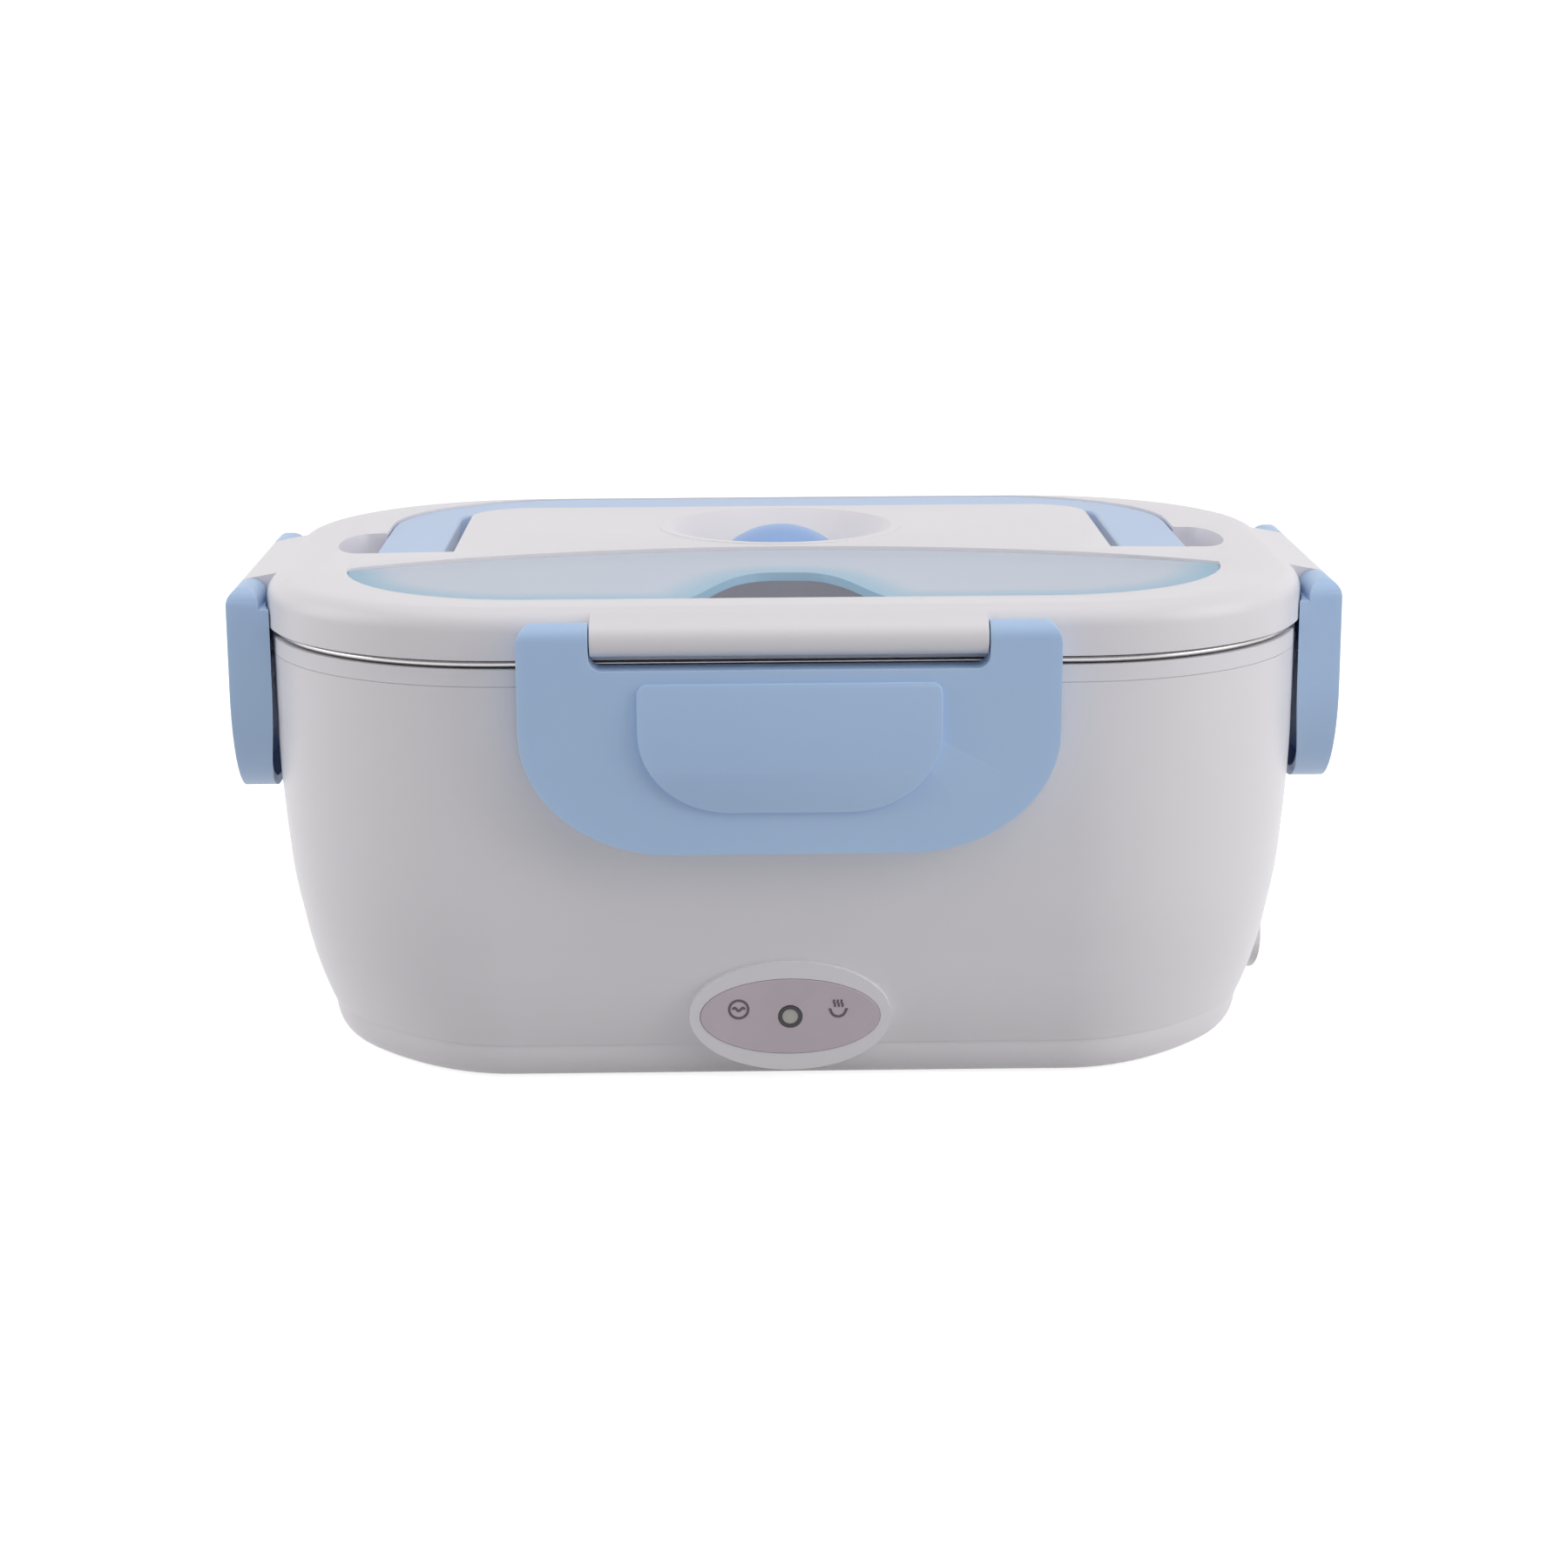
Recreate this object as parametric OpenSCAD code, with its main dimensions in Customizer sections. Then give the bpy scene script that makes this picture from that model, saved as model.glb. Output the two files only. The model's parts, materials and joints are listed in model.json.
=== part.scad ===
// Electric lunch box: a heated body, a lift-out steel container and a lid held by four latches.
// Front is -Y, right is +X and up is +Z. The origin is on the table, under the middle of the body.
// Every shell is swept round one rounded rectangle. A size called q is the distance outside the
// rectangle that joins the centres of its four corners.

/* [Body] */
// Length of the body at its collar
body_length = 212.4; // [206:0.2:226]
// Depth of the body at its collar
body_depth = 149.4; // [145:0.2:162]
// Corner radius of the body at its collar
corner_r = 50.2; // [48:0.1:52]
// Height of the top edge of the outer shell
shell_top = 83.9; // [80:0.1:92]
// Height of the seam between outer shell and base cover
seam_z = 8; // [7.6:0.1:10]
// Radius of the long bow of the side walls, seen in section
bow_r = 411; // [380:1:520]
// Distance below the shell's top edge at which the walls are upright
bow_drop = 2; // [0:0.5:8]
// Height at which the walls start to turn in towards the base
turn_z = 40; // [34:1:48]
// Radius of that turn
turn_r = 85; // [78:1:110]
// Wall of the outer shell
shell_wall = 2.2; // [1.6:0.1:2.6]
// Height of the collar of the heating well above the shell
collar_h = 3.5; // [2.5:0.1:5]

/* [Base] */
// Height of the rubber feet under the base
foot_h = 1.4; // [1:0.1:2]
// Radius of the rubber feet
foot_r = 7; // [5:0.1:8]
// Distance of the feet from the middle along X
foot_x = 62; // [40:0.5:66]
// Distance of the feet from the middle along Y
foot_y = 46; // [30:0.5:48]
// Height of the plinth above the feet
plinth_h = 1.6; // [1:0.1:2.4]
// Wall of the base cover
base_wall = 2; // [1.6:0.1:2.4]
// Radius of a base screw's shank
screw_r = 1.25; // [1:0.05:1.5]
// Radius of a screw post
post_r = 4; // [3.4:0.1:5]

/* [Container and heater] */
// Clearance between the container and the wall of the heating well
well_gap = 1.2; // [0.8:0.1:2]
// Wall of the heating well
well_wall = 1.8; // [1.2:0.1:2.2]
// Steel of the container
steel = 0.9; // [0.6:0.1:1.2]
// Width of the rolled rim of the container
rim_w = 7.1; // [6:0.1:8]
// Height of the container's underside
container_z = 26.7; // [25:0.1:32]
// Draw-in of the container's wall from its mouth to its floor
container_taper = 5.9; // [3:0.1:7]
// Bottom corner radius of the container
container_r = 10; // [6:0.5:12]
// Radius of the aluminium heater plate
plate_r = 38; // [36:0.5:42]
// Thickness of the heater plate
plate_t = 2.5; // [2:0.1:3]
// Length of the ceramic heater
ptc_l = 50; // [36:1:52]
// Width of the ceramic heater
ptc_w = 22; // [16:1:23]
// Thickness of the ceramic heater
ptc_t = 6; // [4:0.5:7]

/* [Display and inlet] */
// Lean of the faces of both bosses from the upright
boss_lean = 5; // [0:0.5:8]
// Height of the display's centre
display_z = 15.4; // [15:0.1:18]
// Half width of the display panel
display_a = 18; // [15:0.5:20]
// Half height of the display panel
display_b = 8; // [7:0.1:8.4]
// Radius of the indicator lens
lens_r = 1.6; // [1.2:0.1:2]
// Half width of the boss round the inlet
inlet_boss_a = 25; // [20:0.5:26]
// Height of the inlet's centre
inlet_z = 16; // [15:0.1:16.4]
// Half height of the boss round the inlet
inlet_boss_b = 9.8; // [9.2:0.1:10.6]
// Distance between the two inlet pins
pin_pitch = 8.6; // [8:0.1:9]
// Radius of an inlet pin
inlet_pin_r = 1.18; // [1:0.02:1.3]

/* [Lid] */
// Overhang of the lid's skirt beyond the collar
lid_over = 0.8; // [0.5:0.1:1.5]
// Height of the skirt above the steel rim's top, up to the start of the rounded edge
skirt_h = 5.8; // [5.2:0.1:7]
// Radius of the rounded top edge
edge_r = 4.5; // [3.5:0.1:5]
// Rise of the crowned deck from its edge to its middle
crown = 0.6; // [0.4:0.1:1.4]
// Wall of the lid
lid_wall = 2.4; // [2:0.1:2.6]
// Depth of the plug of the lid liner inside the container
liner_drop = 7; // [6:0.1:10]
// Radius of the vent bowl's ring
vent_r = 26.8; // [25:0.1:28]
// Distance of the vent bowl behind the middle
vent_y = 24; // [23:0.5:25]
// Plan radius of the vent plug's dome
dome_r = 14; // [12:0.5:15]

/* [Compartment] */
// Half length of the compartment cover
cover_a = 90; // [86:0.5:94]
// Distance of the cover's front edge from the middle
cover_front = 64.5; // [60:0.5:65.5]
// Radius of the cover's bowed rear edge
cover_bow = 195; // [170:1:230]
// Thickness of the cover
cover_t = 1.8; // [1.4:0.1:2.2]
// Half width of the arched finger notch
notch_a = 21.5; // [16:0.5:26]
// Depth of the finger notch
notch_h = 31; // [20:0.5:34]

/* [Handle] */
// Distance of the handle arms' outer faces from the middle
handle_a = 86.6; // [84:0.1:88]
// Width of a handle arm
arm_w = 16.4; // [13:0.1:17]
// Distance of the handle's rear edge from the rear of the lid
handle_inset = 4.2; // [3.6:0.1:6]
// Width of the handle's rear bar
grip_w = 16.2; // [12:0.1:17]
// Thickness of the handle
handle_t = 6; // [5:0.1:6.2]
// Radius of the handle's trunnions
trunnion_r = 1.6; // [1.3:0.1:1.8]

/* [Latches] */
// Half width of the front and rear latches
long_latch = 52.3; // [48:0.5:54]
// Half length of the hinge bars at front and rear
long_bar = 38.2; // [34:0.2:39]
// Half width of the side latches
short_latch = 39; // [36:0.5:42]
// Half length of the hinge bars at the sides
short_bar = 25; // [22:0.5:26]
// Length of a latch below its hinge axis
latch_drop = 42; // [36:0.2:46]
// Thickness of a latch
latch_t = 2.3; // [1.8:0.1:2.6]
// Radius of the hinge bars
bar_r = 3.3; // [3:0.1:3.8]
// Radius of the latch pins
pin_r = 1.6; // [1.3:0.1:1.8]

/* [Fits] */
// Gap between pieces that lift or swing apart
gap = 0.3; // [0.2:0.05:0.5]
// Radial clearance of a pin in its bore
pin_fit = 0.06; // [0.04:0.01:0.1]
// Clearance of a piece set into its seat
seat_fit = 0.1; // [0.05:0.01:0.2]

/* [Hidden] */
$fn = 96;
white_pp = [0.93, 0.93, 0.95];
blue_pp = [0.62, 0.77, 0.93];
steel_grey = [0.72, 0.72, 0.74];

// centres of the corners, and the height from which heights in the wall are counted
cx = body_length / 2 - corner_r;
cy = body_depth / 2 - corner_r;
bow_z = shell_top - bow_drop;
bow_c = [corner_r - bow_r, bow_z];
turn_lean = asin((bow_z - turn_z) / bow_r);
turn_c = bow_c + (bow_r - turn_r) * [cos(turn_lean), -sin(turn_lean)];
collar_top = shell_top + collar_h;
base_z = foot_h + plinth_h;
base_q = body_q(seam_z) - gap;
plinth_q = base_q - (seam_z - base_z) - 0.7;

// container, from its rim down
rim_t = 1.2;
rim_z = collar_top + gap;
rim_top = rim_z + rim_t;
rim_q = corner_r - 0.6;
mouth_q = rim_q - rim_w;
floor_q = mouth_q - container_taper;

// heating well and heater, from the container's floor down
plate_top = container_z - 0.4;
well_floor = plate_top - plate_t;
well_under = well_floor - well_wall;
heater_hole = plate_r - 8;
bracket_t = 1.2;
bracket_z = well_floor - ptc_t - bracket_t;
bracket_x = plate_r + 2;
bracket_boss_r = 3.5;
bracket_b = 7;
bracket_screw_l = 5.5;
screw_l = 12;
screw_head_r = 3;
screw_head_h = 1.1;
foot_plug_r = 2.5;

// lid, from the steel rim up
lid_q = corner_r + lid_over;
lid_z = rim_top + 0.4;
edge_z = rim_top + skirt_h;
edge_q = lid_q - edge_r;
deck_edge = edge_z + edge_r;
deck_top = deck_edge + crown;
crown_r = (edge_q * edge_q + crown * crown) / (2 * crown);
seal_t = 1.2;
flange_z = rim_top + gap + seal_t;
flange_t = 0.8;
tray_q = mouth_q - steel - 1;
tray_wall = 1.2;
tray_z = rim_top - liner_drop + 1.5;
pan_t = 1.2;
groove_z = flange_z + flange_t + gap + pan_t;

// handle, its axis at the middle of its thickness
handle_back = cy + lid_q - handle_inset;
handle_z = groove_z + gap;
pivot_z = handle_z + handle_t / 2;
pivot_y = -5;
handle_outer_r = 40;
handle_inner_r = 13;
arm_in = handle_a - arm_w;

// compartment
cover_top = deck_top - 0.8;
cover_seat = cover_top - cover_t - gap;
cover_corner = 38;
cover_rear = vent_y - vent_r - 2.5;
notch_fullness = 1.7;
pocket_inset = 3.5;
pocket_wall = 1.6;
side_pocket_drop = 4.2;
pocket_floor = tray_z + 2 + gap + pocket_wall;

// vent bowl
ring_top = deck_top + 0.2;
bowl_z = groove_z - 1.3;
bowl_floor_r = dome_r + 2;
stem_r = 5;
dome_h = 6.7;
dome_sphere = (dome_r * dome_r + dome_h * dome_h) / (2 * dome_h);

// latches, in a frame whose X axis is the hinge axis and whose +Y points at the lid
bar_lift = 1.4;
hinge_out = bar_r + gap;
hinge_z = lid_z + bar_lift + bar_r;
ear_r = hinge_out - gap;
bar_end = gap;
notch_drop = bar_r + 2.3;
notch_r = 2.5;
ear_corner = 4;
latch_rim = 2;
cross_wall = 2;
reach = hinge_out + 3;
pad_bulge = 1.8;
pad_bulge_r = 73;
catch_h = 2;
catch_drop = hinge_z - shell_top + catch_h;
catch_out = ear_r;
corner_w = 29;
corner_h = 24;

// display and inlet
boss_out = 1;
boss_rim = 2.2;
boss_depth = 10;
boss_wall = 2.6;
panel_t = 1.4;
panel_z = boss_out + 0.2 - panel_t;
board_out = -6.4;
board_l = 18;
board_b = 10;
board_t = 1.6;
display_lip = 3.8;
inlet_depth = 11;
inlet_back = 1.4;
pin_tail = 6;
inlet_w = 17;
inlet_h = 8.6;

// q of the body's outside at height z
function rise_q(c, r, z) = c[0] + sqrt(r * r - (c[1] - z) * (c[1] - z));
function body_q(z) = z > turn_z ? rise_q(bow_c, bow_r, z) : rise_q(turn_c, turn_r, z);
function half_of(a) = a % 180 == 0 ? cy : cx;
// points of an arc about c, from angle a0 to a1
function arc(c, rx, ry, a0, a1, n = 12) =
  [for (i = [0:n]) let (a = a0 + (a1 - a0) * i / n) [c[0] + rx * cos(a), c[1] + ry * sin(a)]];

module place_corners() {
  for (m = [0, 1], n = [0, 1]) mirror([m, 0, 0]) mirror([0, n, 0]) translate([cx, cy, 0]) children();
}
// sweeps a profile drawn in q and z round the rounded rectangle
module around() {
  place_corners() rotate_extrude(angle = 90) children();
  for (m = [0, 1]) mirror([0, m, 0])
    translate([-cx, cy, 0]) rotate([90, 0, 90]) linear_extrude(2 * cx) children();
  for (m = [0, 1]) mirror([m, 0, 0])
    translate([cx, cy, 0]) rotate([90, 0, 0]) linear_extrude(2 * cy) children();
}
module block(q0, z0, q1, z1) {
  translate([q0, z0]) square([q1 - q0, z1 - z0]);
}
module middle(z0, z1) {
  translate([-cx, -cy, z0]) cube([2 * cx, 2 * cy, z1 - z0]);
}
module slab(q, z0, z1) {
  around() block(0, z0, q, z1);
  middle(z0, z1);
}
// a pan with leaning walls and a rounded bottom corner, solid
module pan(q_top, z_top, q_low, z_low, r) {
  around() polygon(concat([[0, z_low]], arc([q_low - r, z_low + r], r, r, 270, 360, 8),
    [[q_top, z_top], [0, z_top]]));
  middle(z_low, z_top);
}
// a box between two corners
module box(a, b) {
  translate(a) cube(b - a);
}
// the body's section between two heights, smaller by t
module section(z0, z1, t = 0) {
  turn = arc(turn_c, turn_r - t, turn_r - t, asin((z0 - turn_c[1]) / (turn_r - t)), -turn_lean, 8);
  bow = arc(bow_c, bow_r - t, bow_r - t, -turn_lean, asin((z1 - bow_z) / (bow_r - t)), 5);
  polygon(concat(turn, [for (i = [1:len(bow) - 1]) bow[i]], [[20, z1], [20, z0]]));
}
// places children on the face of a boss of half height b that is flush with the wall at its top
module on_boss(a, z, b) {
  q = body_q(z + b) - b * sin(boss_lean);
  rotate([0, 0, a]) translate([0, -half_of(a) - q, z]) rotate([90 + boss_lean, 0, 0]) children();
}
module on_display() {
  on_boss(0, display_z, display_boss_b) children();
}
module on_inlet() {
  on_boss(90, inlet_z, inlet_boss_b) children();
}
// places children on a hinge axis; a is 0 at the front and 90 on the right
module on_hinge(a) {
  rotate([0, 0, a]) translate([0, -half_of(a) - lid_q - hinge_out, hinge_z]) children();
}
module oval(a, b) {
  polygon(arc([0, 0], a, b, 0, 352.5, 47));
}
module along_x(x0, x1, r) {
  translate([x0, 0, 0]) rotate([0, 90, 0]) cylinder(r = r, h = x1 - x0);
}
module each_foot() {
  for (x = [-foot_x, foot_x], y = [-foot_y, foot_y]) translate([x, y, 0]) children();
}
post_q = base_q - 10;
module each_post() {
  place_corners() translate([post_q * cos(45), post_q * sin(45), 0]) children();
}
module each_bracket_screw() {
  for (x = [-bracket_x, bracket_x]) translate([x, 0, 0]) children();
}
display_boss_b = display_z - display_lip;
module display_boss(grow = 0) {
  on_display() translate([0, 0, -boss_depth - grow]) linear_extrude(boss_depth + boss_out + 2 * grow)
    oval(display_a + boss_rim + grow, display_boss_b + grow);
}
module inlet_boss(grow = 0) {
  on_inlet() translate([0, 0, -boss_depth - grow]) linear_extrude(boss_depth + boss_out + 2 * grow)
    oval(inlet_boss_a + grow, inlet_boss_b + grow);
}
// both bosses, rooted in the shell's wall above the seam and reaching in below it as a lip
module bosses() {
  intersection() {
    union() {
      display_boss();
      inlet_boss();
    }
    union() {
      cube([400, 400, 2 * seam_z], center = true);
      difference() {
        cube([400, 400, 120], center = true);
        around() section(0, 60, shell_wall / 2);
      }
    }
  }
}

module outer_shell() {
  color(white_pp) difference() {
    union() {
      around() difference() {
        section(seam_z, shell_top);
        section(seam_z - 1, shell_top + 1, shell_wall);
      }
      bosses();
      // ledges under which the latches catch
      for (a = [0:90:270]) on_hinge(a)
        box([-24, catch_out, -catch_drop], [24, hinge_out + shell_wall, catch_h - catch_drop]);
      // screw posts with a web to the wall
      each_post() {
        translate([0, 0, base_z + base_wall]) cylinder(r = post_r, h = well_under - 2 - base_z - base_wall);
        rotate([0, 0, 45])
          box([post_r - 1, -1, seam_z], [body_q(seam_z) - shell_wall / 2 - post_q, 1, well_under - 2]);
      }
    }
    each_post() translate([0, 0, base_z]) cylinder(r = screw_r + 0.05, h = well_under - 4 - base_z);
    on_display() {
      translate([0, 0, panel_z]) linear_extrude(panel_t) oval(display_a + seat_fit, display_b + seat_fit);
      translate([0, 0, -12]) cylinder(r = lens_r + seat_fit, h = 20);
      // the hollow behind the panel, where the board sits
      translate([0, 0, -20]) linear_extrude(20 - boss_wall) oval(display_a - 1, display_b - 1);
    }
    on_inlet() {
      translate([0, 0, panel_z]) linear_extrude(panel_t) oval(plate_a + seat_fit, plate_b + seat_fit);
      inlet_block(seat_fit, 20);
    }
  }
}

module heating_well() {
  color(white_pp) difference() {
    union() {
      pan(mouth_q + well_gap + well_wall, collar_top, floor_q + well_gap + well_wall, well_under,
        container_r + well_wall);
      around() intersection() {
        translate(bow_c) circle(bow_r, $fn = 360);
        block(mouth_q, shell_top, 70, collar_top);
      }
      each_bracket_screw() translate([0, 0, bracket_z + bracket_t])
        cylinder(r = bracket_boss_r, h = well_under + 1 - bracket_z - bracket_t);
    }
    pan(mouth_q + well_gap, collar_top + 1, floor_q + well_gap, well_floor, container_r);
    translate([0, 0, well_under - 1]) cylinder(r = heater_hole, h = well_wall + 2);
    each_bracket_screw() translate([0, 0, bracket_z]) cylinder(r = screw_r + 0.05, h = bracket_screw_l + 0.5);
  }
}

module base_cover() {
  turn = seam_z - base_z;
  color(white_pp) difference() {
    union() {
      around() {
        difference() {
          intersection() {
            translate([base_q - turn, seam_z]) circle(turn);
            block(base_q - turn, base_z, base_q, seam_z);
          }
          translate([base_q - turn, seam_z]) circle(turn - base_wall);
        }
        block(plinth_q - 2, base_z, base_q - turn + 0.1, base_z + base_wall);
      }
      slab(plinth_q, foot_h, base_z + 0.6);
    }
    each_foot() cylinder(r = foot_plug_r + seat_fit, h = 10);
    each_post() {
      cylinder(r = screw_r + 0.05, h = 10);
      cylinder(r = screw_head_r + seat_fit, h = foot_h + screw_head_h);
      translate([0, 0, base_z + 0.6]) cylinder(r = post_r + gap, h = 10);
    }
    display_boss(seat_fit);
    inlet_boss(seat_fit);
  }
}

module feet() {
  color([0.25, 0.25, 0.27]) each_foot() {
    cylinder(r1 = foot_r - 0.5, r2 = foot_r, h = 0.5);
    translate([0, 0, 0.5]) cylinder(r = foot_r, h = foot_h - 0.5);
    translate([0, 0, foot_h]) cylinder(r = foot_plug_r, h = base_z - foot_h);
  }
}

module base_screws() {
  color(steel_grey) each_post() difference() {
    union() {
      translate([0, 0, foot_h]) cylinder(r = screw_head_r, h = screw_head_h);
      translate([0, 0, foot_h]) cylinder(r = screw_r, h = screw_l);
    }
    for (a = [0, 90]) rotate([0, 0, a]) translate([0, 0, foot_h])
      cube([1.15 * screw_head_r, 0.7, screw_head_h], center = true);
  }
}

module heater_plate() {
  color([0.8, 0.8, 0.82]) translate([0, 0, well_floor]) difference() {
    cylinder(r = plate_r, h = plate_t);
    translate([0, 0, plate_t - 0.3]) difference() {
      cylinder(r = plate_r - 4, h = 1);
      cylinder(r = plate_r - 5, h = 3, center = true);
    }
  }
}

module ptc_heater() {
  color([0.85, 0.82, 0.7])
    box([-ptc_l / 2, -ptc_w / 2, well_floor - ptc_t], [ptc_l / 2, ptc_w / 2, well_floor]);
}

module heater_bracket() {
  color(steel_grey) difference() {
    union() {
      box([-bracket_x, -bracket_b, bracket_z], [bracket_x, bracket_b, bracket_z + bracket_t]);
      each_bracket_screw() translate([0, 0, bracket_z]) cylinder(r = bracket_b, h = bracket_t);
    }
    each_bracket_screw() translate([0, 0, bracket_z - 1]) cylinder(r = screw_r + 0.05, h = 5);
  }
}

module bracket_screws() {
  color(steel_grey) each_bracket_screw() {
    translate([0, 0, bracket_z - screw_head_h]) cylinder(r = screw_head_r - 0.4, h = screw_head_h);
    translate([0, 0, bracket_z]) cylinder(r = screw_r, h = bracket_screw_l);
  }
}

thermostat_y = ptc_w / 2 + 9;
module thermostat() {
  color([0.3, 0.3, 0.32]) translate([0, thermostat_y, well_floor]) {
    translate([0, 0, -6]) cylinder(r = 8, h = 6);
    translate([0, 0, -8]) cylinder(r = 6, h = 2);
    for (x = [-6.4, 6.4]) translate([x, 0, -7]) cube([4, 4, 0.8], center = true);
  }
}

fuse_y = -ptc_w / 2 - 5;
fuse_r = 2.2;
fuse_l = 16;
fuse_leads = 24;
module thermal_fuse() {
  color([0.85, 0.75, 0.55]) translate([0, fuse_y, well_floor - fuse_r]) {
    along_x(-fuse_l / 2, fuse_l / 2, fuse_r);
    along_x(-fuse_leads / 2, fuse_leads / 2, 0.5);
  }
}

plate_a = inlet_w / 2 + 5;
plate_b = inlet_h / 2 + 4;
// the block behind the inlet's plate, grown by g
module inlet_block(g, back) {
  box([-inlet_w / 2 - 2 - g, -inlet_h / 2 - 1.5 - g, boss_out - back],
    [inlet_w / 2 + 2 + g, inlet_h / 2 + 1.5 + g, boss_out]);
}
module inlet_housing() {
  color([0.86, 0.86, 0.88]) on_inlet() difference() {
    union() {
      translate([0, 0, panel_z]) linear_extrude(panel_t) oval(plate_a, plate_b);
      inlet_block(0, inlet_depth + inlet_back);
    }
    translate([0, 0, boss_out - inlet_depth]) linear_extrude(inlet_depth + 1) {
      square([inlet_w - inlet_h, inlet_h], center = true);
      for (x = [-1, 1]) translate([x * (inlet_w - inlet_h) / 2, 0]) circle(inlet_h / 2);
    }
    for (x = [-1, 1]) translate([x * pin_pitch / 2, 0, -30]) cylinder(r = inlet_pin_r + 0.02, h = 30);
  }
}

module inlet_pins() {
  color(steel_grey) on_inlet() for (x = [-1, 1])
    translate([x * pin_pitch / 2, 0, -inlet_depth - pin_tail])
      cylinder(r = inlet_pin_r, h = inlet_depth + pin_tail - 3);
}

module display_panel() {
  color([0.78, 0.76, 0.78]) on_display() difference() {
    translate([0, 0, panel_z]) linear_extrude(panel_t) oval(display_a, display_b);
    translate([0, 0, -2]) cylinder(r = lens_r + seat_fit, h = 8);
    translate([0, 0, boss_out - 0.1]) cylinder(r = lens_r + 0.8, h = 2);
  }
}

module indicator_lens() {
  color([0.9, 0.9, 0.9]) on_display() translate([0, 0, -3]) cylinder(r = lens_r, h = 3 + boss_out + 0.1);
}

module indicator_ring() {
  color([0.05, 0.05, 0.05]) on_display() translate([0, 0, boss_out - 0.1]) difference() {
    cylinder(r = lens_r + 0.7, h = 0.4);
    translate([0, 0, -1]) cylinder(r = lens_r + 0.02, h = 3);
  }
}

module indicator_board() {
  color([0.1, 0.4, 0.2]) on_display() {
    translate([0, 0, board_out]) cube([board_l, board_b, board_t], center = true);
    translate([0, 0, board_out + board_t / 2]) cylinder(r = lens_r - 0.1, h = -3.2 - board_out - board_t / 2);
  }
}

// a lead through the given points, each bend a small bead of solder sleeve
lead_r = 0.8;
module lead(points) {
  for (i = [0:len(points) - 2]) {
    v = points[i + 1] - points[i];
    translate(points[i]) rotate([0, acos(v[2] / norm(v)), atan2(v[1], v[0])])
      cylinder(r = lead_r, h = norm(v), $fn = 24);
  }
  for (i = [1:len(points) - 2]) translate(points[i]) sphere(lead_r + 0.1, $fn = 24);
}

module wiring() {
  run_z = base_z + base_wall + 3;
  pin_in = inlet_depth + pin_tail + lead_r + 0.1;
  pin_x = cx + body_q(inlet_z + inlet_boss_b) - inlet_boss_b * sin(boss_lean) - pin_in * cos(boss_lean);
  pin_z = inlet_z + pin_in * sin(boss_lean);
  board_in = board_t / 2 - board_out + lead_r + 0.2;
  board_y = -cy - body_q(display_z + display_boss_b) + display_boss_b * sin(boss_lean) + board_in;
  color([0.8, 0.2, 0.15]) {
    lead([[pin_x, pin_pitch / 2, pin_z], [pin_x - 6, 12, run_z], [12, thermostat_y, run_z],
      [7.4, thermostat_y, well_floor - 8.4]]);
    lead([[pin_x, -pin_pitch / 2, pin_z], [pin_x - 6, -12, run_z], [16, fuse_y, run_z],
      [13, fuse_y, well_floor - fuse_r]]);
    lead([[-13, fuse_y, well_floor - fuse_r], [-16, fuse_y, run_z], [-8, board_y + 4, run_z + 2],
      [-6, board_y, display_z]]);
  }
}

module steel_container() {
  color(steel_grey) difference() {
    union() {
      pan(mouth_q, rim_top, floor_q, container_z, container_r);
      around() {
        block(mouth_q - steel, rim_top - 0.8, rim_q - rim_t / 2, rim_top);
        translate([rim_q - rim_t / 2, rim_z + rim_t / 2]) circle(rim_t / 2, $fn = 32);
      }
    }
    pan(mouth_q - steel, rim_top + 1, floor_q - steel, container_z + steel, container_r - steel);
  }
}

module deck_plan(grow) {
  block(0, 0, edge_q, deck_top + 10);
  block(0, 0, edge_q + edge_r + grow, edge_z);
  translate([edge_q, edge_z]) circle(edge_r + grow);
}
// the lid's solid form, smaller by t on every side
module lid_form(t, z0) {
  around() intersection() {
    translate([0, deck_top - crown_r]) circle(crown_r - t, $fn = 720);
    deck_plan(-t);
    block(0, z0, 80, deck_top + 5);
  }
  middle(z0, deck_top - t);
}
// the U of the handle: outer and inner outline, grown by g
module handle_plan(g, y_end) {
  xo = handle_a + g;
  xi = arm_in - g;
  ro = handle_outer_r + g;
  ri = handle_inner_r - g;
  yi = handle_back - grip_w - g;
  polygon(concat([[xo, y_end]], arc([xo - ro, handle_back + g - ro], ro, ro, 0, 90),
    arc([ro - xo, handle_back + g - ro], ro, ro, 90, 180), [[-xo, y_end], [-xi, y_end]],
    arc([ri - xi, yi - ri], ri, ri, 180, 90), arc([xi - ri, yi - ri], ri, ri, 90, 0), [[xi, y_end]]));
}
// outline of the compartment, grown by g
module cover_plan(g) {
  intersection() {
    translate([0, cover_rear - cover_bow]) circle(cover_bow + g, $fn = 360);
    polygon(concat([[-cover_a - g, 20], [-cover_a - g, cover_corner - cover_front]],
      arc([cover_corner - cover_a, cover_corner - cover_front], cover_corner + g, cover_corner + g, 180, 270),
      arc([cover_a - cover_corner, cover_corner - cover_front], cover_corner + g, cover_corner + g, 270, 360),
      [[cover_a + g, 20]]));
  }
}
// finger pockets outside the arm ends
module side_pockets(g, z0) {
  for (m = [0, 1]) mirror([m, 0, 0]) translate([handle_a - 1, 5.5, z0]) linear_extrude(deck_top + 2 - z0)
    polygon(concat([[0, -13.5 - g]], arc([4.5, 0], 5.7 + g, 13.5 + g, 270, 450), [[0, 13.5 + g]]));
}
module vent_bowl(g, z0) {
  translate([0, vent_y, z0]) cylinder(r1 = bowl_floor_r + g, r2 = vent_r - 2 + g, h = ring_top + 0.01 - z0);
}
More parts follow.
